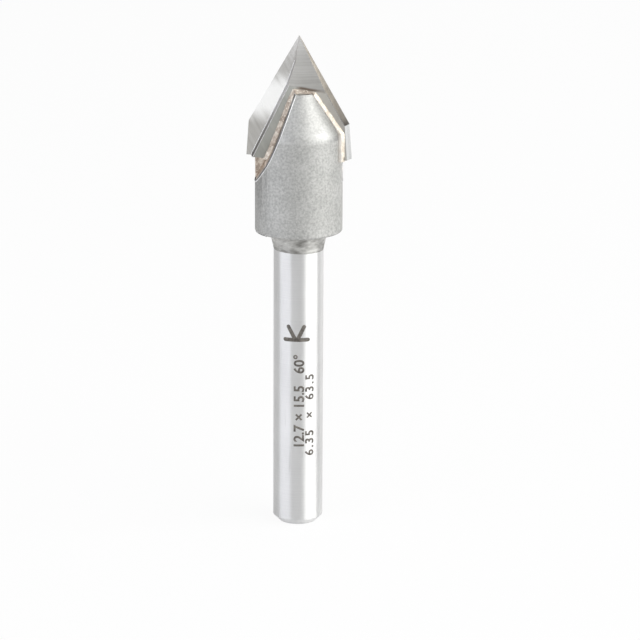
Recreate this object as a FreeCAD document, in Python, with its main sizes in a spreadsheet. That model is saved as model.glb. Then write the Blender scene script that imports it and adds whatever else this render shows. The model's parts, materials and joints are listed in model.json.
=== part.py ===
import FreeCAD, Part
import os

import Sketcher

# A 60 degree V groove router bit that stands on its shank end, tip up.
# X runs along the cutter plate, -Y is the front, Z = 0 is the shank's end face.

SIZES = {
    # Whole bit and shank
    "overall_length": 63.5,
    "shank_dia": 6.35,
    "shank_chamfer": 0.8,
    "neck_dia": 7.4,
    "neck_length": 2.4,
    "neck_root_radius": 0.25,
    # Head: a barrel that ends in a cone with a small flat top
    "head_dia": 11.1,
    "head_base_break": 0.25,
    "head_barrel_length": 12.97,
    "head_shoulder_radius": 2.5,
    "head_cone_angle": 31.8,
    "head_top_dia": 5.0,
    # Carbide plate
    "cutter_dia": 12.85,
    "included_angle": 60.0,
    "tip_flat": 0.12,
    "tip_reach": 7.1,
    "plate_thickness": 2.5,
    "plate_side_length": 4.44,
    "plate_side_flare": 3.9,
    "plate_seat_width": 6.8,
    "plate_corner_rise": 0.12,
    # Grinding of the plate
    "edge_relief_angle": 17.5,
    "side_relief_angle": 19.0,
    "point_web": 0.1,
    "point_facet_angle": 10.75,
    "point_facet_twist": 1.7,
    "rake_wall_draft": 16.5,
    "rake_wall_offset": 1.59,
    "rake_wall_bend_reach": 3.2,
    "rake_wall_bend_offset": 0.53,
    "rake_land_width": 0.58,
    # Flutes beside the plate
    "flute_wall_angle": 21.8,
    "flute_wall_draft": 9.9,
    "flute_runout": 2.77,
    "flute_runout_height": 3.15,
    "flute_runout_angle": 29.5,
    "flute_bend_radius": 20.0,
    # Braze filler
    "braze_film": 0.1,
    "braze_bead": 0.5,
    "braze_side_bead": 0.7,
    "braze_bead_chamfer": 0.4,
    "braze_coat": 0.1,
}

# Expressions that several pieces share
HALF_PLATE = "Sizes.plate_thickness / 2"
HALF_SLOT = f"({HALF_PLATE} + Sizes.braze_film)"
HEAD_RADIUS = "Sizes.head_dia / 2"
TOP_RADIUS = "Sizes.head_top_dia / 2"
CUTTER_RADIUS = "Sizes.cutter_dia / 2"
HALF_FLAT = "Sizes.tip_flat / 2"
HALF_WEB = "Sizes.point_web / 2"
EDGE_SLOPE = "tan(Sizes.included_angle / 2 * 1 deg)"
FLARE_SLOPE = "tan(Sizes.plate_side_flare * 1 deg)"
FACET_SLOPE = "tan(Sizes.point_facet_angle * 1 deg)"
FLUTE_SLOPE = "tan(Sizes.flute_wall_angle * 1 deg)"
FLUTE_DRAFT = "tan(Sizes.flute_wall_draft * 1 deg)"
RUNOUT_SLOPE = "tan(Sizes.flute_runout_angle * 1 deg)"
CONE_SLOPE = "tan(Sizes.head_cone_angle * 1 deg)"

# Heights, from the point down to the shank
TIP_Z = "Sizes.overall_length"
CORNER_Z = f"({TIP_Z} - ({CUTTER_RADIUS} - {HALF_FLAT}) / {EDGE_SLOPE})"
SIDE_END_Z = f"({CORNER_Z} - Sizes.plate_side_length)"
SEAT_Z = f"({SIDE_END_Z} - Sizes.plate_corner_rise)"
SLOT_FLOOR_Z = f"({SEAT_Z} - Sizes.braze_film)"
FLUTE_END_Z = f"({SLOT_FLOOR_Z} - Sizes.flute_runout)"
FLUTE_BEND_Z = f"({FLUTE_END_Z} + Sizes.flute_runout_height)"
FACET_END_Z = f"({TIP_Z} - ({HALF_PLATE} - {HALF_WEB}) / {FACET_SLOPE})"
HEAD_TOP_Z = f"({TIP_Z} - Sizes.tip_reach)"
CONE_BASE_Z = f"({HEAD_TOP_Z} - ({HEAD_RADIUS} - {TOP_RADIUS}) / {CONE_SLOPE})"
HEAD_BASE_Z = f"({CONE_BASE_Z} - Sizes.head_barrel_length)"
NECK_BASE_Z = f"({HEAD_BASE_Z} - Sizes.neck_length)"

# Cutting prisms reach this far past what they cut
CLEAR = "Sizes.cutter_dia"
ABOVE_Z = f"({TIP_Z} + Sizes.plate_thickness)"

SIDE_END_RADIUS = f"({CUTTER_RADIUS} + Sizes.plate_side_length * {FLARE_SLOPE})"

FRONT = -1
REAR = 1


def make_sheet(document):
    sheet = document.addObject("Spreadsheet::Sheet", "Sizes")
    for row, (alias, value) in enumerate(SIZES.items(), start=1):
        sheet.set(f"A{row}", alias)
        sheet.set(f"B{row}", str(value))
        sheet.setAlias(f"B{row}", alias)
    document.recompute()
    return sheet


def make_body(document, label):
    body = document.addObject("PartDesign::Body", label)
    body.Label = label
    body.Placement = FreeCAD.Placement()
    return body


def origin_feature(body, role):
    return [item for item in body.Origin.OriginFeatures if item.Role == role][0]


def outline(body, name, plane, corners):
    """A closed sketch of straight lines whose corners follow pairs of expressions."""
    sketch = body.newObject("Sketcher::SketchObject", name)
    sketch.AttachmentSupport = [(origin_feature(body, plane), "")]
    sketch.MapMode = "FlatFace"
    count = len(corners)
    places = [
        FreeCAD.Vector(float(sketch.evalExpression(across)), float(sketch.evalExpression(up)), 0)
        for across, up in corners
    ]
    for index, place in enumerate(places):
        sketch.addGeometry(Part.LineSegment(place, places[(index + 1) % count]))
    for index in range(count):
        sketch.addConstraint(Sketcher.Constraint("Coincident", index, 2, (index + 1) % count, 1))
    for index, (across, up) in enumerate(corners):
        for kind, expression, start in (
            ("DistanceX", across, places[index].x),
            ("DistanceY", up, places[index].y),
        ):
            constraint = Sketcher.Constraint(kind, -1, 1, index, 1, start)
            number = sketch.addConstraint(constraint)
            sketch.setExpression(f"Constraints[{number}]", expression)
    return sketch


def straight(body, kind, name, sketch, length):
    """A pad or pocket that runs the same way on both sides of its sketch."""
    feature = body.newObject(kind, name)
    feature.Profile = sketch
    feature.SideType = "Symmetric"
    feature.setExpression("Length", length)
    return feature


def leaning(body, kind, name, sketch, side, lean, length):
    """A pad or pocket to the front or rear whose walls lean along X by a slope."""
    feature = body.newObject(kind, name)
    feature.Profile = sketch
    feature.UseCustomVector = True
    feature.Direction = FreeCAD.Vector(0, side, 0)
    feature.setExpression("Direction.x", lean)
    feature.setExpression("Length", length)
    return feature


def repeat_behind(body, name, features):
    """Repeats the features half a turn round the bit's axis."""
    pattern = body.newObject("PartDesign::PolarPattern", name)
    pattern.Originals = features
    pattern.Axis = (origin_feature(body, "Z_Axis"), [""])
    pattern.Angle = 360
    pattern.Occurrences = 2
    body.Tip = pattern
    return pattern


def ring_edge(shape, radius, height):
    """The name of the full circle of this radius at this height."""
    for number, edge in enumerate(shape.Edges, start=1):
        curve = edge.Curve
        if curve.TypeId != "Part::GeomCircle":
            continue
        if abs(curve.Radius - radius) < 1e-4 and abs(curve.Center.z - height) < 1e-4:
            return f"Edge{number}"
    raise RuntimeError(f"no ring of radius {radius} at height {height}")


def level_edges(shape, height):
    """The names of the edges that lie level at this height."""
    return [
        f"Edge{number}"
        for number, edge in enumerate(shape.Edges, start=1)
        if abs(edge.BoundBox.ZMin - height) < 1e-4 and abs(edge.BoundBox.ZMax - height) < 1e-4
    ]


def dress_ring(body, kind, name, base, radius, height, amount):
    """A fillet or chamfer on one turned edge of the last feature."""
    body.Document.recompute()
    radius_now = float(base.evalExpression(radius))
    height_now = float(base.evalExpression(height))
    feature = body.newObject(kind, name)
    feature.Base = (base, [ring_edge(base.Shape, radius_now, height_now)])
    size = "Size" if kind.endswith("Chamfer") else "Radius"
    feature.setExpression(size, amount)
    return feature


def flute_corners(shift, bottom_z):
    """The area left of a flute's wall, with the wall moved by a shift along X."""
    def run_out(height):
        return f"-{HEAD_RADIUS} + ({height} - {FLUTE_END_Z}) * {RUNOUT_SLOPE} + {shift}"

    bend = run_out(FLUTE_BEND_Z)
    return [
        (run_out(bottom_z), bottom_z),
        (bend, FLUTE_BEND_Z),
        (f"{bend} + ({ABOVE_Z} - {FLUTE_BEND_Z}) * {FLUTE_SLOPE}", ABOVE_Z),
        (f"-2 * {CLEAR}", ABOVE_Z),
        (f"-2 * {CLEAR}", bottom_z),
    ]


def make_steel_body(document):
    """Shank, neck and head, turned from one bar, then slotted and fluted."""
    body = make_body(document, "steel_body")
    shank_radius = "Sizes.shank_dia / 2"
    neck_radius = "Sizes.neck_dia / 2"
    profile = outline(body, "TurnedProfile", "XZ_Plane", [
        ("0", "0"),
        (shank_radius, "0"),
        (shank_radius, NECK_BASE_Z),
        (neck_radius, HEAD_BASE_Z),
        (HEAD_RADIUS, HEAD_BASE_Z),
        (HEAD_RADIUS, CONE_BASE_Z),
        (TOP_RADIUS, HEAD_TOP_Z),
        ("0", HEAD_TOP_Z),
    ])
    turned = body.newObject("PartDesign::Revolution", "TurnedBar")
    turned.Profile = profile
    turned.ReferenceAxis = (profile, ["V_Axis"])
    turned.Angle = 360
    shank_end = dress_ring(
        body, "PartDesign::Chamfer", "ShankEnd", turned, shank_radius, "0", "Sizes.shank_chamfer"
    )
    neck_root = dress_ring(
        body, "PartDesign::Fillet", "NeckRoot", shank_end, neck_radius, HEAD_BASE_Z,
        "Sizes.neck_root_radius",
    )
    base_edge = dress_ring(
        body, "PartDesign::Fillet", "HeadBaseEdge", neck_root, HEAD_RADIUS, HEAD_BASE_Z,
        "Sizes.head_base_break",
    )
    dress_ring(
        body, "PartDesign::Fillet", "HeadShoulder", base_edge, HEAD_RADIUS, CONE_BASE_Z,
        "Sizes.head_shoulder_radius",
    )

    slot = outline(body, "SlotSection", "YZ_Plane", [
        (f"-{HALF_SLOT}", SLOT_FLOOR_Z),
        (HALF_SLOT, SLOT_FLOOR_Z),
        (HALF_SLOT, ABOVE_Z),
        (f"-{HALF_SLOT}", ABOVE_Z),
    ])
    straight(body, "PartDesign::Pocket", "PlateSlot", slot, "2 * Sizes.head_dia")

    run_out_z = f"({FLUTE_END_Z} - Sizes.plate_thickness)"
    flute_area = outline(body, "FluteArea", "XZ_Plane", flute_corners("0", run_out_z))
    flute = leaning(
        body, "PartDesign::Pocket", "Flute", flute_area, FRONT, FLUTE_DRAFT, "Sizes.head_dia"
    )
    both_flutes = repeat_behind(body, "BothFlutes", [flute])
    document.recompute()
    bend_z = float(both_flutes.evalExpression(FLUTE_BEND_Z))
    bends = body.newObject("PartDesign::Fillet", "FluteBends")
    bends.Base = (both_flutes, level_edges(both_flutes.Shape, bend_z))
    bends.setExpression("Radius", "Sizes.flute_bend_radius")
    return body


def make_carbide_tip(document):
    """One plate with both cutting wings, ground on each wing's own side."""
    body = make_body(document, "carbide_tip")
    half_seat = "Sizes.plate_seat_width / 2"
    right_side = [
        (HALF_FLAT, TIP_Z),
        (CUTTER_RADIUS, CORNER_Z),
        (SIDE_END_RADIUS, SIDE_END_Z),
        (half_seat, SEAT_Z),
    ]
    left_side = [(f"-{across}", up) for across, up in reversed(right_side)]
    plate_outline = outline(body, "PlateOutline", "XZ_Plane", right_side + left_side)
    straight(body, "PartDesign::Pad", "Plate", plate_outline, "Sizes.plate_thickness")

    below_z = f"({SEAT_Z} - Sizes.plate_corner_rise)"
    wall_end = f"-({SIDE_END_RADIUS} - Sizes.rake_land_width)"
    rake_area = outline(body, "RakeArea", "XZ_Plane", [
        (f"-{HALF_WEB}", ABOVE_Z),
        (f"-{HALF_WEB}", TIP_Z),
        ("-Sizes.rake_wall_bend_offset", f"{TIP_Z} - Sizes.rake_wall_bend_reach"),
        ("-Sizes.rake_wall_offset", FACET_END_Z),
        (wall_end, SEAT_Z),
        (wall_end, below_z),
        (f"-2 * {CLEAR}", below_z),
        (f"-2 * {CLEAR}", ABOVE_Z),
    ])
    rake_face = leaning(
        body, "PartDesign::Pocket", "RakeFace", rake_area, FRONT,
        "tan(Sizes.rake_wall_draft * 1 deg)", "Sizes.plate_thickness",
    )

    facet_depth = f"(Sizes.plate_thickness - {HALF_WEB}) / {FACET_SLOPE}"
    facet_area = outline(body, "PointFacetArea", "YZ_Plane", [
        (f"-{HALF_WEB}", TIP_Z),
        ("-Sizes.plate_thickness", f"{TIP_Z} - {facet_depth}"),
        ("-Sizes.plate_thickness", ABOVE_Z),
        (f"-{HALF_WEB}", ABOVE_Z),
    ])
    facet_area.AttachmentOffset = FreeCAD.Placement(
        FreeCAD.Vector(), FreeCAD.Rotation(FreeCAD.Vector(0, 1, 0), SIZES["point_facet_twist"])
    )
    facet_area.setExpression("AttachmentOffset.Rotation.Angle", "Sizes.point_facet_twist * 1 deg")
    point_facet = straight(
        body, "PartDesign::Pocket", "PointFacet", facet_area, f"4 * {CLEAR}"
    )

    def edge(height):
        return f"-{HALF_FLAT} - ({TIP_Z} - {height}) * {EDGE_SLOPE}"

    edge_area = outline(body, "EdgeReliefArea", "XZ_Plane", [
        (edge(below_z), below_z),
        (edge(ABOVE_Z), ABOVE_Z),
        (f"-2 * {CLEAR}", ABOVE_Z),
        (f"-2 * {CLEAR}", below_z),
    ])
    edge_relief = leaning(
        body, "PartDesign::Pocket", "EdgeRelief", edge_area, REAR,
        "tan(Sizes.edge_relief_angle * 1 deg) / cos(Sizes.included_angle / 2 * 1 deg)",
        "Sizes.plate_thickness",
    )

    def side(height):
        return f"-{CUTTER_RADIUS} - ({CORNER_Z} - {height}) * {FLARE_SLOPE}"

    side_area = outline(body, "SideReliefArea", "XZ_Plane", [
        (side(below_z), below_z),
        (side(ABOVE_Z), ABOVE_Z),
        (f"-2 * {CLEAR}", ABOVE_Z),
        (f"-2 * {CLEAR}", below_z),
    ])
    side_relief = leaning(
        body, "PartDesign::Pocket", "SideRelief", side_area, REAR,
        "tan(Sizes.side_relief_angle * 1 deg)", "Sizes.plate_thickness",
    )
    repeat_behind(body, "BothWings", [rake_face, point_facet, edge_relief, side_relief])
    return body


def make_braze_joint(document, steel_body, carbide_tip):
    """The filler that fills the slot round the plate and stands as a bead along it."""
    body = make_body(document, "braze_blank")
    top_half = f"sqrt(({TOP_RADIUS}) ^ 2 - ({HALF_PLATE}) ^ 2)"
    barrel_half = f"sqrt(({HEAD_RADIUS}) ^ 2 - ({HALF_PLATE}) ^ 2)"
    right_side = [
        (f"{top_half} / 2", f"{HEAD_TOP_Z} + Sizes.braze_bead"),
        (f"({top_half} + Sizes.braze_bead / 2)", f"{HEAD_TOP_Z} + Sizes.braze_bead / 2"),
        (f"({barrel_half} + Sizes.braze_side_bead)", CONE_BASE_Z),
        (f"({barrel_half} + Sizes.braze_side_bead)", SLOT_FLOOR_Z),
    ]
    left_side = [(f"-{across}", up) for across, up in reversed(right_side)]
    fill_outline = outline(body, "FillOutline", "XZ_Plane", right_side + left_side)
    fill = straight(
        body, "PartDesign::Pad", "SlotFill", fill_outline,
        "Sizes.plate_thickness + 2 * Sizes.braze_bead",
    )
    document.recompute()
    bead_face = float(fill.evalExpression(f"{HALF_PLATE} + Sizes.braze_bead"))
    floor = float(fill.evalExpression(SLOT_FLOOR_Z))
    bead_edges = []
    for number, edge in enumerate(fill.Shape.Edges, start=1):
        box = edge.BoundBox
        on_face = abs(abs(box.YMin) - bead_face) < 1e-4 and box.YLength < 1e-4
        if on_face and box.ZMax > floor + 1e-4:
            bead_edges.append(f"Edge{number}")
    slope = body.newObject("PartDesign::Chamfer", "BeadSlope")
    slope.Base = (fill, bead_edges)
    slope.setExpression("Size", "Sizes.braze_bead_chamfer")

    below_z = f"({FLUTE_END_Z} - Sizes.plate_thickness)"
    open_area = outline(
        body, "FluteOpening", "XZ_Plane", flute_corners("(-Sizes.braze_bead)", below_z)
    )
    opening = leaning(
        body, "PartDesign::Pocket", "FluteOpen", open_area, FRONT, FLUTE_DRAFT, "Sizes.head_dia"
    )
    wall_shift = f"({FLUTE_DRAFT} * {HALF_PLATE} - Sizes.braze_bead)"
    wall_area = outline(body, "WallBeadArea", "XZ_Plane", flute_corners(wall_shift, below_z))
    wall_area.setExpression("AttachmentOffset.Base.z", HALF_PLATE)
    wall_bead = leaning(
        body, "PartDesign::Pocket", "WallBead", wall_area, FRONT, f"1 + {FLUTE_DRAFT}",
        "Sizes.head_dia",
    )
    coat_area = outline(body, "FloorCoatArea", "XZ_Plane", [
        (f"-{HEAD_RADIUS}", SEAT_Z),
        (f"-{HEAD_RADIUS}", FLUTE_END_Z),
        (f"-{HEAD_RADIUS} + ({SEAT_Z} - {FLUTE_END_Z}) * {RUNOUT_SLOPE}", SEAT_Z),
    ])
    floor_coat = leaning(
        body, "PartDesign::Pad", "FloorCoat", coat_area, FRONT, FLUTE_DRAFT, "Sizes.braze_coat"
    )
    repeat_behind(body, "BothFluteBeads", [opening, wall_bead, floor_coat])

    around_plate = document.addObject("Part::Cut", "BrazeAroundPlate")
    around_plate.Base = body
    around_plate.Tool = carbide_tip
    joint = document.addObject("Part::Cut", "BrazeJoint")
    joint.Base = around_plate
    joint.Tool = steel_body
    joint.Label = "braze_joint"
    joint.Placement = FreeCAD.Placement()
    return joint


def check_document(document, pieces):
    for item in document.Objects:
        if "Invalid" in item.State or "Error" in item.State:
            raise RuntimeError(f"{item.Label} failed: {item.State}")
    for piece in pieces:
        shape = piece.Shape
        if shape.isNull() or not shape.isValid() or len(shape.Solids) != 1:
            raise RuntimeError(f"{piece.Label} is not one valid solid")
        box = shape.BoundBox
        print(
            f"{piece.Label}: {shape.Volume:.2f} mm3, {len(shape.Faces)} faces, "
            f"{box.XLength:.2f} x {box.YLength:.2f} x {box.ZLength:.2f} mm"
        )


def main():
    document = FreeCAD.newDocument("v_groove_router_bit")
    make_sheet(document)
    steel_body = make_steel_body(document)
    carbide_tip = make_carbide_tip(document)
    braze_joint = make_braze_joint(document, steel_body, carbide_tip)
    document.recompute()
    pieces = [steel_body, carbide_tip, braze_joint]
    check_document(document, pieces)
    os.makedirs("parts", exist_ok=True)
    for piece in pieces:
        piece.Shape.exportStep(os.path.join("parts", f"{piece.Label}.step"))


main()
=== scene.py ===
import json
import math

import bmesh
import bpy
from mathutils import Matrix, Vector, noise


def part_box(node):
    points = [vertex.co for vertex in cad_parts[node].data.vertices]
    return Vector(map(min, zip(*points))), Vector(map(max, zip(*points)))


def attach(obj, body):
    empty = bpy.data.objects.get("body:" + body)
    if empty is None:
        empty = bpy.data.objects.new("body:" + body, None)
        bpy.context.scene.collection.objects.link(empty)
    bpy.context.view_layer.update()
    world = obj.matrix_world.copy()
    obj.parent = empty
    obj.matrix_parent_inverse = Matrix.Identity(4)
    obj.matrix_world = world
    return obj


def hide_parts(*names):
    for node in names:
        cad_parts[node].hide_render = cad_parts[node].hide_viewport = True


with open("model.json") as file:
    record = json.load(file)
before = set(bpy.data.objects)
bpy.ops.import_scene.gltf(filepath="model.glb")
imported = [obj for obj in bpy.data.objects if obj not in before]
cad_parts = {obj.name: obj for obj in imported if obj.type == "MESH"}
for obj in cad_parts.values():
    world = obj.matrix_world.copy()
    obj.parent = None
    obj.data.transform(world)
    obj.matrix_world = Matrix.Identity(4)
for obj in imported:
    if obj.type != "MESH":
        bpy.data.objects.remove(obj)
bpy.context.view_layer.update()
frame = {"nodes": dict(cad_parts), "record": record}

mm = 0.001

view = {
    "azimuth": 9.0,
    "elevation": 15.5,
    "distance": 450.0,
    "pixelSize": 0.1249,        # of the picture, at the point's distance
    "pixels": 640,
    "pointInPicture": (299.3, 35.6),
    "roll": 0.28,
    "sensor": 36.0,
}


def direction(azimuth, elevation):
    # from the bit outwards, in degrees; azimuth 0 is -Y
    turn = math.radians(azimuth)
    lift = math.radians(elevation)
    return Vector((math.sin(turn) * math.cos(lift), -math.cos(turn) * math.cos(lift), math.sin(lift)))


def newObject(name, data):
    item = bpy.data.objects.new(name, data)
    bpy.context.scene.collection.objects.link(item)
    return item


def placeCamera():
    turn = math.radians(view["azimuth"])
    towardsCamera = direction(view["azimuth"], view["elevation"])
    right = Vector((math.cos(turn), math.sin(turn), 0))
    up = towardsCamera.cross(right)
    lean = Matrix.Rotation(math.radians(view["roll"]), 3, towardsCamera)
    right, up = lean @ right, lean @ up
    half = view["pixels"] / 2
    across, down = view["pointInPicture"]
    point = Vector((0, 0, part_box("carbide_tip")[1].z / mm))
    aim = point + right * (half - across) * view["pixelSize"] + up * (down - half) * view["pixelSize"]
    width = view["pixels"] * view["pixelSize"]
    lens = bpy.data.cameras.new("camera")
    lens.sensor_width = view["sensor"]
    lens.lens = view["sensor"] * view["distance"] / width
    lens.clip_start = 0.01
    lens.clip_end = 20
    camera = newObject("camera", lens)
    axes = Matrix((right, up, towardsCamera)).transposed().to_4x4()
    camera.matrix_world = Matrix.Translation((aim + towardsCamera * view["distance"]) * mm) @ axes
    bpy.context.scene.camera = camera
    print("camera placed")


def newMaterial(name, metallic=1.0):
    material = bpy.data.materials.new(name)
    material.use_nodes = True
    tree = material.node_tree
    shader = tree.nodes["Principled BSDF"]
    shader.inputs["Metallic"].default_value = metallic
    return material, tree, shader


def add(tree, kind, values=None, **settings):
    node = tree.nodes.new(kind)
    for key, value in settings.items():
        setattr(node, key, value)
    for key, value in (values or {}).items():
        node.inputs[key].default_value = value
    return node


def link(tree, *pairs):
    for outgoing, incoming in pairs:
        tree.links.new(outgoing, incoming)


def plug(tree, socket, value):
    # joins an output, or writes a number or a colour
    if hasattr(value, "is_linked"):
        tree.links.new(value, socket)
    elif isinstance(value, tuple) and len(socket.default_value) == 4:
        socket.default_value = (*value, 1)
    else:
        socket.default_value = value


def paint(tree, shader, colour, roughness):
    plug(tree, shader.inputs["Base Color"], colour)
    plug(tree, shader.inputs["Roughness"], roughness)


def maths(tree, operation, first, second=0.0, third=0.0, clamp=False):
    node = add(tree, "ShaderNodeMath", operation=operation, use_clamp=clamp)
    for socket, value in zip(node.inputs, (first, second, third)):
        plug(tree, socket, value)
    return node.outputs[0]


def placeOf(tree):
    # X, Y and Z of the point that is shaded
    place = add(tree, "ShaderNodeTexCoord")
    parts = add(tree, "ShaderNodeSeparateXYZ")
    link(tree, (place.outputs["Object"], parts.inputs[0]))
    return parts.outputs


def objectPoints(tree, scale=(1, 1, 1), lean=0.0, bothWings=False):
    # lean turns the pattern about Y; bothWings makes it the same left and right of the axis
    place = add(tree, "ShaderNodeTexCoord").outputs["Object"]
    if bothWings:
        parts = placeOf(tree)
        joined = add(tree, "ShaderNodeCombineXYZ")
        link(
            tree,
            (maths(tree, "ABSOLUTE", parts["X"]), joined.inputs["X"]),
            (parts["Y"], joined.inputs["Y"]),
            (parts["Z"], joined.inputs["Z"]),
        )
        place = joined.outputs[0]
    turn = add(tree, "ShaderNodeMapping", {"Rotation": (0, math.radians(lean), 0)})
    stretch = add(tree, "ShaderNodeMapping", {"Scale": scale})
    link(tree, (place, turn.inputs["Vector"]), (turn.outputs[0], stretch.inputs["Vector"]))
    return stretch.outputs["Vector"]


def fade(tree, value, start, end, least=0.0, most=1.0, smooth=False, unit=mm):
    # goes from least at start to most at end
    node = add(tree, "ShaderNodeMapRange", {1: start * unit, 2: end * unit, 3: least})
    if smooth:
        node.interpolation_type = "SMOOTHSTEP"
    plug(tree, node.inputs[0], value)
    plug(tree, node.inputs[4], most)
    return node.outputs[0]


def band(tree, height, low, high, soft):
    # 1 between two heights in millimetres, fading over soft at both ends
    rise = fade(tree, height, low - soft, low + soft, smooth=True)
    fall = fade(tree, height, high + soft, high - soft, smooth=True)
    return maths(tree, "MULTIPLY", rise, fall)


def noiseAt(tree, points, scale, detail=3.0, roughness=0.5):
    grain = add(tree, "ShaderNodeTexNoise", {"Scale": scale, "Detail": detail, "Roughness": roughness})
    link(tree, (points, grain.inputs["Vector"]))
    return grain.outputs["Fac"]


def ramp(tree, factor, stops):
    # stops are (position, grey or colour)
    node = add(tree, "ShaderNodeValToRGB")
    points = node.color_ramp.elements
    while len(points) < len(stops):
        points.new(0.5)
    for point, (position, colour) in zip(points, stops):
        point.position = position
        tone = (colour,) * 3 if isinstance(colour, float) else colour
        point.color = (*tone, 1)
    link(tree, (factor, node.inputs["Fac"]))
    return node.outputs["Color"]


def twoTones(tree, factor, start, end, tones):
    return ramp(tree, factor, list(zip((start, end), tones)))


def mixColour(tree, factor, first, second, blend="MIX"):
    node = add(tree, "ShaderNodeMix", data_type="RGBA", blend_type=blend)
    plug(tree, node.inputs[0], factor)
    plug(tree, node.inputs[6], first)
    plug(tree, node.inputs[7], second)
    return node.outputs[2]


def bump(tree, shader, height, strength, depth):
    node = add(tree, "ShaderNodeBump", {"Strength": strength, "Distance": depth * mm})
    link(tree, (height, node.inputs["Height"]), (node.outputs["Normal"], shader.inputs["Normal"]))


def acrossWings(tree):
    # negative on the wing whose relief is seen, whichever side the bit is seen from
    parts = placeOf(tree)
    return maths(tree, "MULTIPLY", parts["X"], maths(tree, "SIGN", parts["Y"]))


def farSide(tree):
    # 1 on the wing whose relief is seen, from 2.5 mm off the axis
    return fade(tree, acrossWings(tree), -1.5, -2.5)


def copyOfNode(name, newName):
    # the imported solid's mesh, welded and with its flat faces made whole
    mesh = frame["nodes"][name].data.copy()
    mesh.name = newName
    mesh.materials.clear()
    shape = bmesh.new()
    shape.from_mesh(mesh)
    bmesh.ops.remove_doubles(shape, verts=shape.verts, dist=0.0005 * mm)
    bmesh.ops.dissolve_limit(shape, angle_limit=math.radians(0.5), verts=shape.verts, edges=shape.edges)
    bmesh.ops.dissolve_degenerate(shape, dist=0.0005 * mm, edges=shape.edges)
    for face in shape.faces:
        face.smooth = True
    shape.to_mesh(mesh)
    shape.free()
    return newObject(newName, mesh)


def applyModifiers(piece):
    graph = bpy.context.evaluated_depsgraph_get()
    mesh = bpy.data.meshes.new_from_object(piece.evaluated_get(graph))
    piece.modifiers.clear()
    piece.data = mesh


def shapeTree(name, labels):
    # takes a shape and a number for each label
    tree = bpy.data.node_groups.new(name, "GeometryNodeTree")
    tree.interface.new_socket("Geometry", in_out="INPUT", socket_type="NodeSocketGeometry")
    sockets = {}
    for label in labels:
        socket = tree.interface.new_socket(label, in_out="INPUT", socket_type="NodeSocketFloat")
        sockets[label] = socket.identifier
    tree.interface.new_socket("Geometry", in_out="OUTPUT", socket_type="NodeSocketGeometry")
    return tree, sockets, tree.nodes.new("NodeGroupInput").outputs


def giveShape(tree, shape, finish):
    real = tree.nodes.new("GeometryNodeRealizeInstances")
    painted = add(tree, "GeometryNodeSetMaterial", {"Material": finish})
    result = tree.nodes.new("NodeGroupOutput")
    link(
        tree,
        (shape, real.inputs[0]),
        (real.outputs[0], painted.inputs["Geometry"]),
        (painted.outputs[0], result.inputs[0]),
    )


def addTree(piece, name, tree, sockets, values):
    modifier = piece.modifiers.new(name, "NODES")
    modifier.node_group = tree
    for label, value in values.items():
        modifier[sockets[label]] = value


def sortFaces(piece, finishes, kindOf):
    # gives each face the finish of its kind
    order = list(finishes)
    for finish in finishes.values():
        piece.data.materials.append(finish)
    for face in piece.data.polygons:
        face.material_index = order.index(kindOf(face))
    return order


cords = {                       # worn and burnt lines, painted highlights and painted shadows along edges
    "sides": 8,
    "sunk": 0.45,               # share of the half width
    "belowPoint": 0.3,
    "welded": 0.04,             # points nearer than this become one
}


def lineTone(name, tones, metallic):
    material, tree, shader = newMaterial(name, metallic)
    nicks = noiseAt(tree, objectPoints(tree), 1600, 3)
    paint(tree, shader, twoTones(tree, nicks, 0.36, 0.6, tones), 0.42)
    return material


def cordTree(name, finish):
    # a round cord along the given edges
    tree, sockets, given = shapeTree(name, ["Half width"])
    path = tree.nodes.new("GeometryNodeMeshToCurve")
    ring = add(tree, "GeometryNodeCurvePrimitiveCircle", {"Resolution": cords["sides"]})
    sweep = add(tree, "GeometryNodeCurveToMesh", {"Fill Caps": True})
    link(
        tree,
        (given["Geometry"], path.inputs["Mesh"]),
        (given["Half width"], ring.inputs["Radius"]),
        (path.outputs[0], sweep.inputs["Curve"]),
        (ring.outputs[0], sweep.inputs["Profile Curve"]),
    )
    giveShape(tree, sweep.outputs[0], finish)
    return tree, sockets


def edgeCord(source, name, order, cord):
    # follows the edges between two kinds of face, moved onto the first kind and sunk a little
    firstKind, secondKind = [order.index(kind) for kind in cord["between"]]
    halfWidth, distance = cord["halfWidth"], cord["distance"]
    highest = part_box("carbide_tip")[1].z - cords["belowPoint"] * mm
    shape = bmesh.new()
    shape.from_mesh(source.data)
    moves = {}
    kept = set()
    for edge in shape.edges:
        kinds = {face.material_index: face for face in edge.link_faces}
        middle = (edge.verts[0].co + edge.verts[1].co) / 2
        if set(kinds) != {firstKind, secondKind} or cord["besideRake"] and middle.x * middle.y < 0:
            continue
        if max(vertex.co.z for vertex in edge.verts) > highest:
            continue
        kept.add(edge)
        face = kinds[firstKind]
        aside = face.normal.cross(edge.verts[1].co - edge.verts[0].co).normalized()
        if aside.dot(face.calc_center_median() - middle) < 0:
            aside.negate()
        for vertex in edge.verts:
            sunk = face.normal * halfWidth * cords["sunk"]
            moves.setdefault(vertex, []).append(aside * distance - sunk)
    others = [edge for edge in shape.edges if edge not in kept]
    bmesh.ops.delete(shape, geom=others, context="EDGES_FACES")
    for vertex in shape.verts:
        steps = moves.get(vertex)
        if steps:
            vertex.co += sum(steps, Vector()) / len(steps) * mm
    loose = [vertex for vertex in shape.verts if not vertex.link_edges]
    bmesh.ops.delete(shape, geom=loose, context="VERTS")
    bmesh.ops.remove_doubles(shape, verts=shape.verts, dist=cords["welded"] * mm)
    mesh = bpy.data.meshes.new(name)
    shape.to_mesh(mesh)
    shape.free()
    piece = newObject(name, mesh)
    tree, sockets = cordTree(name, lineTone(*cord["finish"]))
    addTree(piece, "cord", tree, sockets, {"Half width": halfWidth * mm})
    applyModifiers(piece)
    for face in piece.data.polygons:
        face.use_smooth = True
    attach(piece, "root")
    print(name, len(piece.data.polygons), "faces")


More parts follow.
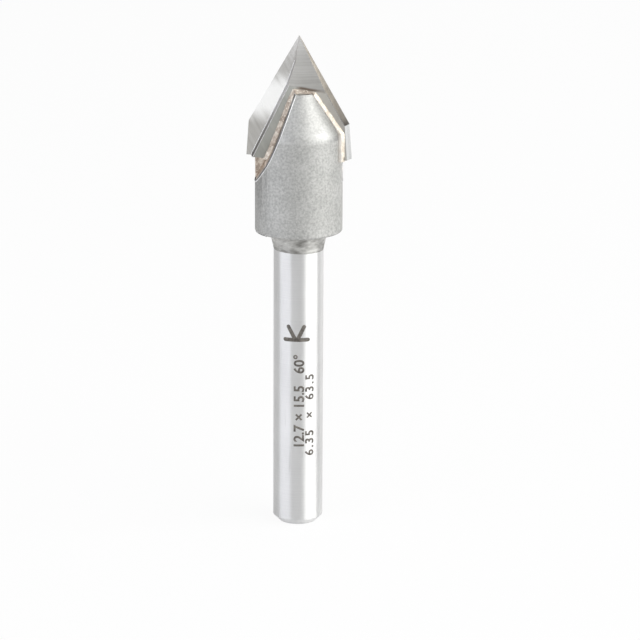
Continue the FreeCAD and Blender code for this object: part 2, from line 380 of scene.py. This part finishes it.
# Heights and sizes are in millimetres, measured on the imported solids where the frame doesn't name them
steel = {
    "headBase": 38.5,
    "neckBase": 36.11,
    "slack": 0.02,              # of a height found on the mesh
    "coneLine": 50.72,          # where the lathe tool turned off to the cone
    "coneBlend": 0.06,
    "groundWaver": 0.22,        # the grinding wheel stopped unevenly below the neck
    "waverGrain": 260,
    "sharpAngle": 14,
    "fluteTurn": 0.993,         # greatest cosine between a flute's face and straight out
    "fluteLevel": 0.2,          # least level share of its normal
    "barrelTone": ((0.40, 0.40, 0.39), (0.57, 0.57, 0.555)),
    "coneTone": ((0.45, 0.45, 0.44), (0.60, 0.60, 0.585)),
    "patchTone": (0.42, 0.60),
    "barrelRough": (0.56, 0.66),
    "coneRough": (0.51, 0.62),
    "paintedShadeBeside": (1.7, 0.5),   # painted shade on the cone beside the slot: distance from the middle plane, share of the distance across
    # how dark the painted shade leaves the cone
    "paintedShadeShare": 0.60,
    "fluteTone": ((0.28, 0.235, 0.195), (0.64, 0.545, 0.465)),
    "fluteFade": (51, 47),      # darker above, paler below
    "neckTone": ((0.27, 0.265, 0.25), (0.64, 0.635, 0.615)),
    "neckRough": (0.44, 0.32),
    "shankTone": (0.70, 0.78),
    "shankLine": (0.86, 0.86, 0.85),
    "shankScuff": (0.42, 0.415, 0.40),
    "shankRough": (0.38, 0.44),
    "cords": {                  # along the flutes' edges; distance is onto the turned face
        # bright cords on the flutes' edges: wear, and a painted highlight where the rounded edges catch the
        # light
        "wornRimsAndHighlights": {
            "between": ("head", "flute"), "halfWidth": 0.055, "distance": 0.06,
            "finish": ("wornEdgeAndHighlight", (0.88, 0.98), 0.6), "besideRake": False,
        },
        # a painted shadow: dark cords along the flutes' edges beside the rakes, where the filler meets the
        # steel
        "paintedShadowLines": {
            "between": ("head", "flute"), "halfWidth": 0.10, "distance": -0.10,
            "finish": ("paintedShadowInFlute", (0.11, 0.19), 0.0), "besideRake": True,
        },
    },
}


def shadeBesideSlot(tree):
    # 1 next to the slot on the relief's side: the mask of a painted shade on the cone
    parts = placeOf(tree)
    near, share = steel["paintedShadeBeside"]
    offSlot = maths(tree, "SUBTRACT", maths(tree, "ABSOLUTE", parts["Y"]), near * mm)
    across = maths(tree, "MULTIPLY", maths(tree, "ABSOLUTE", parts["X"]), share)
    beside = maths(tree, "SUBTRACT", 1.0, maths(tree, "DIVIDE", offSlot, across), clamp=True)
    return maths(tree, "MULTIPLY", beside, farSide(tree))


def blastedHead():
    material, tree, shader = newMaterial("blastedHead")
    points = objectPoints(tree)
    speck = noiseAt(tree, points, 3600, 3, 0.65)
    pits = noiseAt(tree, points, 9000, 2)
    patch = noiseAt(tree, points, 420, 3)
    line, blend = steel["coneLine"], steel["coneBlend"]
    onCone = fade(tree, placeOf(tree)["Z"], line - blend, line + blend, smooth=True)
    tones = [twoTones(tree, speck, 0.36, 0.62, steel[name]) for name in ("barrelTone", "coneTone")]
    colour = mixColour(tree, onCone, *tones)
    colour = mixColour(tree, 0.35, colour, twoTones(tree, patch, 0.3, 0.7, steel["patchTone"]), "OVERLAY")
    # painted shade: the cone's colour darkened next to the slot on the relief's side
    paintedShade = maths(tree, "MULTIPLY", shadeBesideSlot(tree), onCone)
    colour = mixColour(tree, paintedShade, colour, (steel["paintedShadeShare"],) * 3, "MULTIPLY")
    grades = [twoTones(tree, speck, 0.25, 0.75, steel[name]) for name in ("barrelRough", "coneRough")]
    paint(tree, shader, colour, mixColour(tree, onCone, *grades))
    bump(tree, shader, mixColour(tree, 0.4, speck, pits), 0.35, 0.04)
    return material


def fluteSkin():
    # steel of the flutes, stained by the filler
    material, tree, shader = newMaterial("fluteSkin")
    stain = noiseAt(tree, objectPoints(tree), 1300, 4, 0.6)
    pale = fade(tree, placeOf(tree)["Z"], *steel["fluteFade"])
    spread = maths(tree, "MULTIPLY_ADD", stain, 0.5, maths(tree, "MULTIPLY", pale, 0.5))
    paint(tree, shader, twoTones(tree, spread, 0.25, 0.72, steel["fluteTone"]), 0.5)
    bump(tree, shader, stain, 0.4, 0.04)
    return material


def brushAround(tree, shader):
    # the lines of turning and grinding run round the axis, so lamps show as upright bands
    around = add(tree, "ShaderNodeTangent", direction_type="RADIAL", axis="Z")
    link(tree, (around.outputs["Tangent"], shader.inputs["Tangent"]))
    shader.inputs["Anisotropic"].default_value = 0.9
    shader.inputs["Anisotropic Rotation"].default_value = 0.25


def neckSkin():
    material, tree, shader = newMaterial("neckSkin")
    blotch = noiseAt(tree, objectPoints(tree, (1, 1, 2.2)), 620, 4, 0.6)
    turning = noiseAt(tree, objectPoints(tree, (150, 150, 7000)), 1, 2)
    colour = twoTones(tree, blotch, 0.35, 0.66, steel["neckTone"])
    paint(tree, shader, colour, twoTones(tree, blotch, 0.3, 0.7, steel["neckRough"]))
    bump(tree, shader, mixColour(tree, 0.5, blotch, turning), 0.5, 0.05)
    brushAround(tree, shader)
    return material


def groundShank():
    material, tree, shader = newMaterial("groundShank")
    lines = noiseAt(tree, objectPoints(tree, (60, 60, 8000)), 1, 3)
    cloud = noiseAt(tree, objectPoints(tree, (1, 1, 0.35)), 420, 3)
    scuff = noiseAt(tree, objectPoints(tree, (2600, 2600, 180)), 1, 2)
    colour = twoTones(tree, cloud, 0.3, 0.7, steel["shankTone"])
    colour = mixColour(tree, twoTones(tree, lines, 0.35, 0.7, (0.0, 0.35)), colour, steel["shankLine"])
    colour = mixColour(tree, twoTones(tree, scuff, 0.66, 0.74, (0.0, 0.3)), colour, steel["shankScuff"])
    paint(tree, shader, colour, twoTones(tree, lines, 0.3, 0.7, steel["shankRough"]))
    bump(tree, shader, lines, 0.08, 0.01)
    brushAround(tree, shader)
    return material


def insideFlute(face):
    # a flute's faces look across the bit, not straight out from its axis
    middle, facing = face.center, face.normal
    outward = Vector((middle.x, middle.y, 0)).normalized()
    level = Vector((facing.x, facing.y, 0))
    turned = level.length > steel["fluteLevel"] and level.normalized().dot(outward) < steel["fluteTurn"]
    return middle.x * middle.y > 0 and turned


def bodyKind(face):
    height = face.center.z / mm
    if height > steel["headBase"] - steel["slack"]:
        return "flute" if insideFlute(face) else "head"
    return "neck" if height > steel["neckBase"] else "shank"


def turnedBody():
    piece = copyOfNode("steel_body", "turnedBody")
    for vertex in piece.data.vertices:
        place = vertex.co
        if abs(place.z / mm - steel["neckBase"]) < steel["slack"]:
            place.z += noise.noise(place * steel["waverGrain"]) * steel["groundWaver"] * mm
    finishes = {"head": blastedHead(), "neck": neckSkin(), "shank": groundShank(), "flute": fluteSkin()}
    order = sortFaces(piece, finishes, bodyKind)
    for name, cord in steel["cords"].items():
        edgeCord(piece, name, order, cord)
    piece.data.set_sharp_from_angle(angle=math.radians(steel["sharpAngle"]))
    evenNormals = piece.modifiers.new("evenNormals", "WEIGHTED_NORMAL")
    evenNormals.keep_sharp = True
    applyModifiers(piece)
    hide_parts("steel_body")
    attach(piece, "root")
    print("body turned, blasted and ground")


plate = {
    "edgeRounding": 0.016,
    "roundedFrom": 6,           # degrees between two faces
    "rakeDepth": 0.2,           # the rake faces lie nearer to the middle plane than this
    "sideFrom": 6.2,            # from the axis: the side edges' reliefs
    "grinding": {
        # dark and light tone, roughness, fineness of the grinding lines along X, Y and Z,
        # their lean from the axis in degrees, their strength
        "rakeFace": (((0.40, 0.39, 0.37), (0.54, 0.53, 0.51)), 0.20, (2600, 60, 110), -30, 0.06),
        "pointFacet": (((0.46, 0.45, 0.42), (0.62, 0.61, 0.58)), 0.42, (90, 60, 6500), 4, 0.1),
        "plateFace": (((0.36, 0.365, 0.34), (0.50, 0.50, 0.465)), 0.36, (1500, 60, 200), -30, 0.2),
        "edgeRelief": (((0.33, 0.30, 0.26), (0.48, 0.44, 0.385)), 0.45, (1800, 500, 120), -30, 0.2),
        "sideRelief": (((0.62, 0.63, 0.625), (0.80, 0.81, 0.80)), 0.24, (300, 1500, 60), 0, 0.2),
        "plateUnder": (((0.36, 0.365, 0.34), (0.50, 0.50, 0.465)), 0.45, (200, 1500, 200), 0, 0.2),
    },
    "fadeRange": (47, 64),      # lowest and highest height of the shares below
    "fades": {                  # height, share of the tone
        "plateFace": ((48, 0.80), (57, 1.0)),
        "edgeRelief": ((52.6, 0.22), (53.4, 0.55), (60, 1.0)),
    },
    "warmTone": (0.66, 0.63, 0.575),    # of the face behind the relief, ground apart from the other
    "warmShare": 0.75,
    "scorchTone": (0.20, 0.155, 0.12),
    "scorchLine": (57.08, -0.105),      # height over the axis, slope: brown line left above the filler
    "scorchWaver": 0.25,
    "scorchWidth": (0.26, 0.04),        # distances from the line: none, all
    "scorchStart": (0.3, -0.4),         # across the wings: none, all
    "scorchTail": (-3.0, -1.9, 0.35),   # across the wings: faint, all; share where it is faint
    # a painted reflection: the rake faces whitened in a wavy band between two heights
    "reflectionTone": (0.98, 0.98, 0.97),
    "reflectionHeights": (54.4, 59.1),
    "reflectionWaver": 2.4,
    "reflectionBlend": 1.5,
    # painted shade of the step wall: dark and light tone, and the heights between which it grows lighter
    "wallShadeTone": ((0.26, 0.25, 0.235), (0.44, 0.43, 0.41)),
    "wallShadeHeights": (57.0, 59.5),
    "cords": {                  # distance is onto the first kind of face
        # a painted highlight along the strip's edge above the step wall
        "edgeHighlightLines": {
            "between": ("face", "wall"), "halfWidth": 0.055, "distance": 0.05,
            "finish": ("paintedEdgeHighlight", (0.52, 0.78), 0.8), "besideRake": False,
        },
        # a painted highlight along the corner between the rake face and the step wall
        "cornerHighlightLines": {
            "between": ("rake", "wall"), "halfWidth": 0.05, "distance": 0.05,
            "finish": ("paintedCornerHighlight", (0.88, 0.98), 0.8), "besideRake": False,
        },
        "groundLines": {
            "between": ("face", "relief"), "halfWidth": 0.03, "distance": 0.0,
            "finish": ("burntEdge", (0.20, 0.32), 0.3), "besideRake": False,
        },
    },
}


def warmed(tree, colour):
    share = maths(tree, "MULTIPLY", farSide(tree), plate["warmShare"])
    return mixColour(tree, share, colour, plate["warmTone"])


def dimmed(tree, colour, stops):
    low, high = plate["fadeRange"]
    level = fade(tree, placeOf(tree)["Z"], low, high)
    shares = ramp(tree, level, [((height - low) / (high - low), share) for height, share in stops])
    return mixColour(tree, 1.0, colour, shares, "MULTIPLY")


def scorched(tree, colour):
    along = acrossWings(tree)
    height, slope = plate["scorchLine"]
    waver = plate["scorchWaver"]
    cloud = noiseAt(tree, objectPoints(tree), 900, 2)
    level = maths(tree, "MULTIPLY_ADD", cloud, waver * mm, placeOf(tree)["Z"])
    offLine = maths(tree, "MULTIPLY_ADD", along, slope, level)
    offLine = maths(tree, "ABSOLUTE", maths(tree, "SUBTRACT", offLine, (height + waver / 2) * mm))
    near = fade(tree, offLine, *plate["scorchWidth"])
    start = fade(tree, along, *plate["scorchStart"])
    tail = fade(tree, along, *plate["scorchTail"])
    stain = maths(tree, "MULTIPLY", near, maths(tree, "MULTIPLY", start, tail))
    return mixColour(tree, stain, colour, plate["scorchTone"])


def paintedReflection(tree, colour, lean):
    # a painted reflection: the rake face whitened in a wavy band between two heights
    streak = noiseAt(tree, objectPoints(tree, (1100, 60, 70), lean, bothWings=True), 1, 2)
    waver = maths(tree, "MULTIPLY_ADD", streak, plate["reflectionWaver"] * mm, placeOf(tree)["Z"])
    reflectionBand = band(tree, waver, *plate["reflectionHeights"], plate["reflectionBlend"])
    return mixColour(tree, reflectionBand, colour, plate["reflectionTone"])


def groundCarbide(name):
    material, tree, shader = newMaterial(name)
    (dark, light), rough, grain, lean, strength = plate["grinding"][name]
    lines = noiseAt(tree, objectPoints(tree, grain, lean, bothWings=True), 1, 3, 0.6)
    cloud = noiseAt(tree, objectPoints(tree), 380, 3)
    colour = twoTones(tree, lines, 0.32, 0.68, (dark, light))
    colour = mixColour(tree, 0.35, colour, twoTones(tree, cloud, 0.3, 0.7, (dark, light)))
    if name == "plateFace":
        colour = warmed(tree, colour)
    if name in plate["fades"]:
        colour = dimmed(tree, colour, plate["fades"][name])
    if name in ("plateFace", "pointFacet"):
        colour = scorched(tree, colour)
    # the rake face gets a painted reflection
    if name == "rakeFace":
        colour = paintedReflection(tree, colour, lean)
    paint(tree, shader, colour, twoTones(tree, lines, 0.3, 0.7, (rough, rough + 0.08)))
    bump(tree, shader, lines, strength, 0.01)
    return material


def shadedStepWall():
    # the wheel's narrow corner, painted dark as its shade, and darker below the point
    material, tree, shader = newMaterial("shadedStepWall")
    level = fade(tree, placeOf(tree)["Z"], *plate["wallShadeHeights"])
    paint(tree, shader, twoTones(tree, level, 0.0, 1.0, plate["wallShadeTone"]), 0.42)
    return material


def plateKind(face):
    # told by where the face looks: walls are drafted, facets lie a few degrees off the plate's face
    facing = face.normal
    if abs(facing.y) > 0.999:
        return "rake" if abs(face.center.y) < plate["rakeDepth"] * mm else "face"
    if abs(facing.y) > 0.95:
        return "facet"
    if facing.x * facing.y > 0.05:
        return "wall"
    if facing.z > 0.3:
        return "relief"
    return "side" if abs(face.center.x) > plate["sideFrom"] * mm else "under"


def groundPlate():
    piece = copyOfNode("carbide_tip", "groundPlate")
    finishes = {
        "rake": groundCarbide("rakeFace"),
        "wall": shadedStepWall(),
        "facet": groundCarbide("pointFacet"),
        "face": groundCarbide("plateFace"),
        "relief": groundCarbide("edgeRelief"),
        "side": groundCarbide("sideRelief"),
        "under": groundCarbide("plateUnder"),
    }
    order = sortFaces(piece, finishes, plateKind)
    for name, cord in plate["cords"].items():
        edgeCord(piece, name, order, cord)
    soften = piece.modifiers.new("soften", "BEVEL")
    soften.width = plate["edgeRounding"] * mm
    soften.segments = 2
    soften.limit_method = "ANGLE"
    soften.angle_limit = math.radians(plate["roundedFrom"])
    soften.harden_normals = True
    applyModifiers(piece)
    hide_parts("carbide_tip")
    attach(piece, "root")
    print("plate ground")


braze = {
    "voxel": 0.055,
    "smoothing": 7,
    "lumps": {
        "Height": 0.18 * mm,
        "Swell": 0.13 * mm,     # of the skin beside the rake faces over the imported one
        "Sink": 0.12 * mm,      # of the filler beside the reliefs, wiped thinner
        "Scale": 1300.0,
        "Seed": 4.0,
    },
    "sinkWay": (-1.0, -3.5, 0.0),       # share of X and of Y: towards the plate and the steel
    "keep": 0.4,                # share of the faces that the thinning leaves
    "dark": (0.33, 0.26, 0.21),
    "middle": (0.62, 0.54, 0.46),
    "light": (0.95, 0.90, 0.80),
    "farTone": (0.78, 0.725, 0.625),    # paler beside the reliefs
    "farShare": 0.55,
    "wipedTone": (0.72, 0.69, 0.65),
    "wipedFade": (1.67, 1.87),  # from the middle plane: filler wiped thin over the steel beside the relief
    "wipedWaver": 0.3,
    "stains": (                 # dark ends: place on the front, radius
        ((1.95, -1.7, 56.45), 0.28),
        ((6.15, -1.25, 48.2), 0.35),
        ((-5.2, -1.7, 45.6), 0.5),
    ),
    "stainTone": (0.16, 0.12, 0.09),
    "stainWaver": 0.4,
    "stainFade": 0.3,
}


def stained(tree, colour, mottle):
    waver = maths(tree, "MULTIPLY", mottle, braze["stainWaver"] * mm)
    for (across, deep, high), reach in braze["stains"]:
        for turned in (1, -1):
            middle = Vector((across * turned, deep * turned, high)) * mm
            gap = add(tree, "ShaderNodeVectorMath", {1: middle}, operation="DISTANCE")
            link(tree, (objectPoints(tree), gap.inputs[0]))
            distance = maths(tree, "ADD", gap.outputs["Value"], waver)
            near = fade(tree, distance, reach + braze["stainFade"], reach, smooth=True)
            colour = mixColour(tree, near, colour, braze["stainTone"])
    return colour


def flowedBraze():
    material, tree, shader = newMaterial("flowedBraze", metallic=0.55)
    points = objectPoints(tree)
    mottle = noiseAt(tree, points, 1100, 4, 0.6)
    fleck = noiseAt(tree, points, 4200, 2)
    colour = ramp(tree, mottle, [(0.32, braze["dark"]), (0.5, braze["middle"]), (0.72, braze["light"])])
    colour = mixColour(tree, twoTones(tree, fleck, 0.58, 0.66, (0.0, 0.8)), colour, braze["light"])
    offPlane = maths(tree, "ABSOLUTE", placeOf(tree)["Y"])
    wiped = maths(tree, "MULTIPLY_ADD", mottle, braze["wipedWaver"] * mm, offPlane)
    wiped = fade(tree, wiped, *braze["wipedFade"])
    far = farSide(tree)
    colour = mixColour(tree, maths(tree, "MULTIPLY", far, braze["farShare"]), colour, braze["farTone"])
    colour = mixColour(tree, maths(tree, "MULTIPLY", wiped, far), colour, braze["wipedTone"])
    colour = stained(tree, colour, mottle)
    paint(tree, shader, colour, twoTones(tree, mottle, 0.3, 0.7, (0.62, 0.48)))
    bump(tree, shader, mixColour(tree, 0.5, mottle, fleck), 0.4, 0.04)
    return material


def lumpTree(finish):
    # moves a skin in and out along its normals, as filler lies when it has flowed
    tree, sockets, given = shapeTree("flowedLumps", braze["lumps"])
    lumps = add(tree, "ShaderNodeTexNoise", {"Detail": 2.0}, noise_dimensions="4D")
    place = tree.nodes.new("GeometryNodeInputPosition")
    parts = add(tree, "ShaderNodeSeparateXYZ")
    link(
        tree,
        (given["Scale"], lumps.inputs["Scale"]),
        (given["Seed"], lumps.inputs["W"]),
        (place.outputs[0], parts.inputs[0]),
    )
    corner = maths(tree, "MULTIPLY", parts.outputs["X"], parts.outputs["Y"])    # above 0 beside the rakes
    swell = fade(tree, corner, -0.5, 0.5, most=given["Swell"], unit=mm * mm)
    sink = fade(tree, corner, 0.5, -0.5, most=given["Sink"], unit=mm * mm)
    centred = maths(tree, "SUBTRACT", lumps.outputs["Fac"], 0.5)
    reach = maths(tree, "MULTIPLY_ADD", centred, given["Height"], swell)
    outward = tree.nodes.new("GeometryNodeInputNormal")
    step = add(tree, "ShaderNodeVectorMath", operation="SCALE")
    aside = add(tree, "ShaderNodeVectorMath", {1: braze["sinkWay"]}, operation="MULTIPLY")
    inward = add(tree, "ShaderNodeVectorMath", operation="NORMALIZE")
    sunk = add(tree, "ShaderNodeVectorMath", operation="SCALE")
    both = add(tree, "ShaderNodeVectorMath", operation="ADD")
    move = tree.nodes.new("GeometryNodeSetPosition")
    link(
        tree,
        (outward.outputs[0], step.inputs[0]),
        (reach, step.inputs["Scale"]),
        (place.outputs[0], aside.inputs[0]),
        (aside.outputs[0], inward.inputs[0]),
        (inward.outputs[0], sunk.inputs[0]),
        (sink, sunk.inputs["Scale"]),
        (step.outputs[0], both.inputs[0]),
        (sunk.outputs[0], both.inputs[1]),
        (given["Geometry"], move.inputs["Geometry"]),
        (both.outputs[0], move.inputs["Offset"]),
    )
    giveShape(tree, move.outputs[0], finish)
    return tree, sockets


def flowedBead():
    piece = copyOfNode("braze_joint", "flowedBead")
    grid = piece.modifiers.new("grid", "REMESH")
    grid.mode = "VOXEL"
    grid.voxel_size = braze["voxel"] * mm
    grid.use_smooth_shade = True
    melt = piece.modifiers.new("melt", "SMOOTH")
    melt.factor = 0.5
    melt.iterations = braze["smoothing"]
    tree, sockets = lumpTree(flowedBraze())
    addTree(piece, "lumps", tree, sockets, braze["lumps"])
    thin = piece.modifiers.new("thin", "DECIMATE")
    thin.ratio = braze["keep"]
    applyModifiers(piece)
    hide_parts("braze_joint")
    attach(piece, "root")
    print("filler flowed:", len(piece.data.polygons), "faces")


marks = {
    "proud": 0.006,
    "deep": 0.03,
    "stroke": 0.50,
    "signHeight": 24.88,        # middle of the sign's bar
    "signTurn": -4.0,           # from the camera's azimuth, in degrees
    "signArms": ((-0.18, 0.12, -1.05, 1.72), (0.18, 0.12, 0.98, 1.72)),
    "barHalf": 1.52,
    "capHeight": 0.73,          # of the font's digits, as a share of its size
    "boldness": 0.032,
    "rows": (                   # words, digit height, turn, lower end, spacing
        ("12.7 × 15.5   60°", 1.35, 1.5, 10.4, 1.0),
        ("6.35  ×  63.5", 1.2, 27.0, 9.4, 1.25),
    ),
    "tone": ((0.11, 0.10, 0.09), (0.21, 0.195, 0.175)),
    "sliceWidth": 0.16,
}


def etchedTone():
    material, tree, shader = newMaterial("etchedTone", metallic=0.6)
    cloud = noiseAt(tree, objectPoints(tree), 2600, 3)
    paint(tree, shader, twoTones(tree, cloud, 0.35, 0.65, marks["tone"]), 0.55)
    bump(tree, shader, cloud, 0.3, 0.02)
    return material


def strokeOutline(shape, across, up, acrossEnd, upEnd, width):
    # a flat bar with round ends, in millimetres
    start, end = Vector((across, up, 0)), Vector((acrossEnd, upEnd, 0))
    along = (end - start).normalized()
    side = Vector((-along.y, along.x, 0))
    corners = []
    steps = 8
    for middle, sign in ((end, 1), (start, -1)):
        for step in range(steps + 1):
            turn = math.radians(90 - step * 180 / steps) * sign
            out = along * math.cos(turn) * sign + side * math.sin(turn)
            corners.append(middle + out * width / 2)
    shape.faces.new([shape.verts.new(corner) for corner in corners])


def flatWords(words, digitHeight, spacing):
    letters = bpy.data.curves.new("rowOfNumbers", "FONT")
    letters.body = words
    letters.size = digitHeight / marks["capHeight"]
    letters.resolution_u = 4
    letters.space_character = spacing
    letters.offset = marks["boldness"] * digitHeight
    holder = newObject("rowOfNumbers", letters)
    graph = bpy.context.evaluated_depsgraph_get()
    mesh = bpy.data.meshes.new_from_object(holder.evaluated_get(graph))
    bpy.data.objects.remove(holder)
    return mesh


def flatMarks(radius):
    # the skin of the shank unrolled: X is the way round, Y is up
    shape = bmesh.new()
    bar = marks["barHalf"]
    aside = math.radians(marks["signTurn"]) * radius
    height = marks["signHeight"]
    for across, up, acrossEnd, upEnd in ((-bar, 0, bar, 0), *marks["signArms"]):
        strokeOutline(shape, across + aside, up + height, acrossEnd + aside, upEnd + height, marks["stroke"])
    for words, digitHeight, turn, lowEnd, spacing in marks["rows"]:
        row = flatWords(words, digitHeight, spacing)
        # the rows read upwards, so each is turned a quarter to the left
        place = Matrix.Translation((math.radians(turn) * radius + digitHeight / 2, lowEnd, 0))
        row.transform(place @ Matrix.Rotation(math.radians(90), 4, "Z"))
        shape.from_mesh(row)
    return shape


def etchedMarks():
    radius = frame["record"]["mounts"][0]["dims"]["r_mm"]
    shape = flatMarks(radius)
    steps = int(math.pi * radius / marks["sliceWidth"])
    for step in range(-steps // 2, steps // 2 + 1):
        bmesh.ops.bisect_plane(
            shape, geom=shape.verts[:] + shape.edges[:] + shape.faces[:],
            plane_co=(step * marks["sliceWidth"], 0, 0), plane_no=(1, 0, 0),
        )
    bmesh.ops.remove_doubles(shape, verts=shape.verts, dist=0.0005)
    for face in shape.faces:
        if face.normal.z < 0:
            face.normal_flip()
    skin = bmesh.ops.extrude_face_region(shape, geom=shape.faces[:])
    raised = {item for item in skin["geom"] if isinstance(item, bmesh.types.BMVert)}
    for vertex in shape.verts:
        turn = math.radians(view["azimuth"]) + vertex.co.x / radius
        out = radius + (marks["proud"] if vertex in raised else -marks["deep"])
        vertex.co = Vector((math.sin(turn) * out, -math.cos(turn) * out, vertex.co.y)) * mm
    bmesh.ops.recalc_face_normals(shape, faces=shape.faces)
    mesh = bpy.data.meshes.new("etchedMarks")
    shape.to_mesh(mesh)
    shape.free()
    mesh.materials.append(etchedTone())
    piece = newObject("etchedMarks", mesh)
    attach(piece, "root")
    print("marks etched")


studio = {
    "floorTone": (0.90, 0.90, 0.90),
    "metalSees": 0.42,          # share of plain white that the metal sees in the floor
    "cameraSees": 0.92,         # share that the camera sees
    "worldLevel": 0.34,
    "aimHeight": 35,            # of the lamps
    "lamps": (
        # name, azimuth from the camera, elevation, distance, width, height, watts, colour
        ("rightSoftbox", 66, 28, 0.8, 1.0, 0.9, 8.0, (1.0, 1.0, 0.98)),
        ("rightRim", 140, 14, 0.8, 0.7, 0.6, 1.2, (1.0, 1.0, 0.98)),
        ("leftSoftbox", -64, 12, 0.8, 0.88, 0.5, 2.5, (0.90, 0.92, 1.0)),
        ("topSoftbox", -30, 56, 0.9, 0.6, 0.5, 1.2, (0.94, 0.96, 1.0)),
    ),
}


def whenSeen(tree, seen, first, second, output):
    # shows the first shader, and the second by the share that seen gives
    blend = add(tree, "ShaderNodeMixShader")
    link(
        tree,
        (seen, blend.inputs[0]),
        (first.outputs[0], blend.inputs[1]),
        (second.outputs[0], blend.inputs[2]),
        (blend.outputs[0], tree.nodes[output].inputs["Surface"]),
    )


def makeStage():
    bpy.ops.mesh.primitive_plane_add(size=8, location=(0, 0, 0))
    floor = bpy.context.object
    floor.name = "floor"
    material, tree, shader = newMaterial("paleFloor", metallic=0.0)
    paint(tree, shader, studio["floorTone"], 0.9)
    shader.inputs["Specular IOR Level"].default_value = 0.0
    glow = add(tree, "ShaderNodeEmission", {"Color": (1, 1, 1, 1), "Strength": 1.0})
    path = add(tree, "ShaderNodeLightPath")
    seen = maths(tree, "MULTIPLY", path.outputs["Is Glossy Ray"], studio["metalSees"])
    byCamera = maths(tree, "MULTIPLY", path.outputs["Is Camera Ray"], studio["cameraSees"])
    seen = maths(tree, "ADD", seen, byCamera)
    seen = maths(tree, "ADD", seen, path.outputs["Is Transmission Ray"], clamp=True)
    whenSeen(tree, seen, shader, glow, "Material Output")
    floor.data.materials.append(material)

    world = bpy.data.worlds.new("studio")
    bpy.context.scene.world = world
    world.use_nodes = True
    tree = world.node_tree
    back = tree.nodes["Background"]
    back.inputs["Strength"].default_value = studio["worldLevel"]
    back.inputs["Color"].default_value = (1, 1, 1, 1)
    white = add(tree, "ShaderNodeBackground", {"Color": (1, 1, 1, 1), "Strength": 1.0})
    path = add(tree, "ShaderNodeLightPath")
    whenSeen(tree, path.outputs["Is Camera Ray"], back, white, "World Output")
    print("stage set")


def hangLamps():
    middle = Vector((0, 0, studio["aimHeight"] * mm))
    for name, azimuth, elevation, distance, width, height, watts, colour in studio["lamps"]:
        towardsLamp = direction(view["azimuth"] + azimuth, elevation)
        lamp = bpy.data.lights.new(name, "AREA")
        lamp.shape = "RECTANGLE"
        lamp.size = width
        lamp.size_y = height
        lamp.energy = watts
        lamp.color = colour
        hung = newObject(name, lamp)
        hung.location = middle + towardsLamp * distance
        hung.rotation_euler = towardsLamp.to_track_quat("Z", "Y").to_euler()
    print("lamps hung")


placeCamera()
makeStage()
hangLamps()
turnedBody()
groundPlate()
flowedBead()
etchedMarks()

bpy.context.scene.view_settings.view_transform = "Standard"
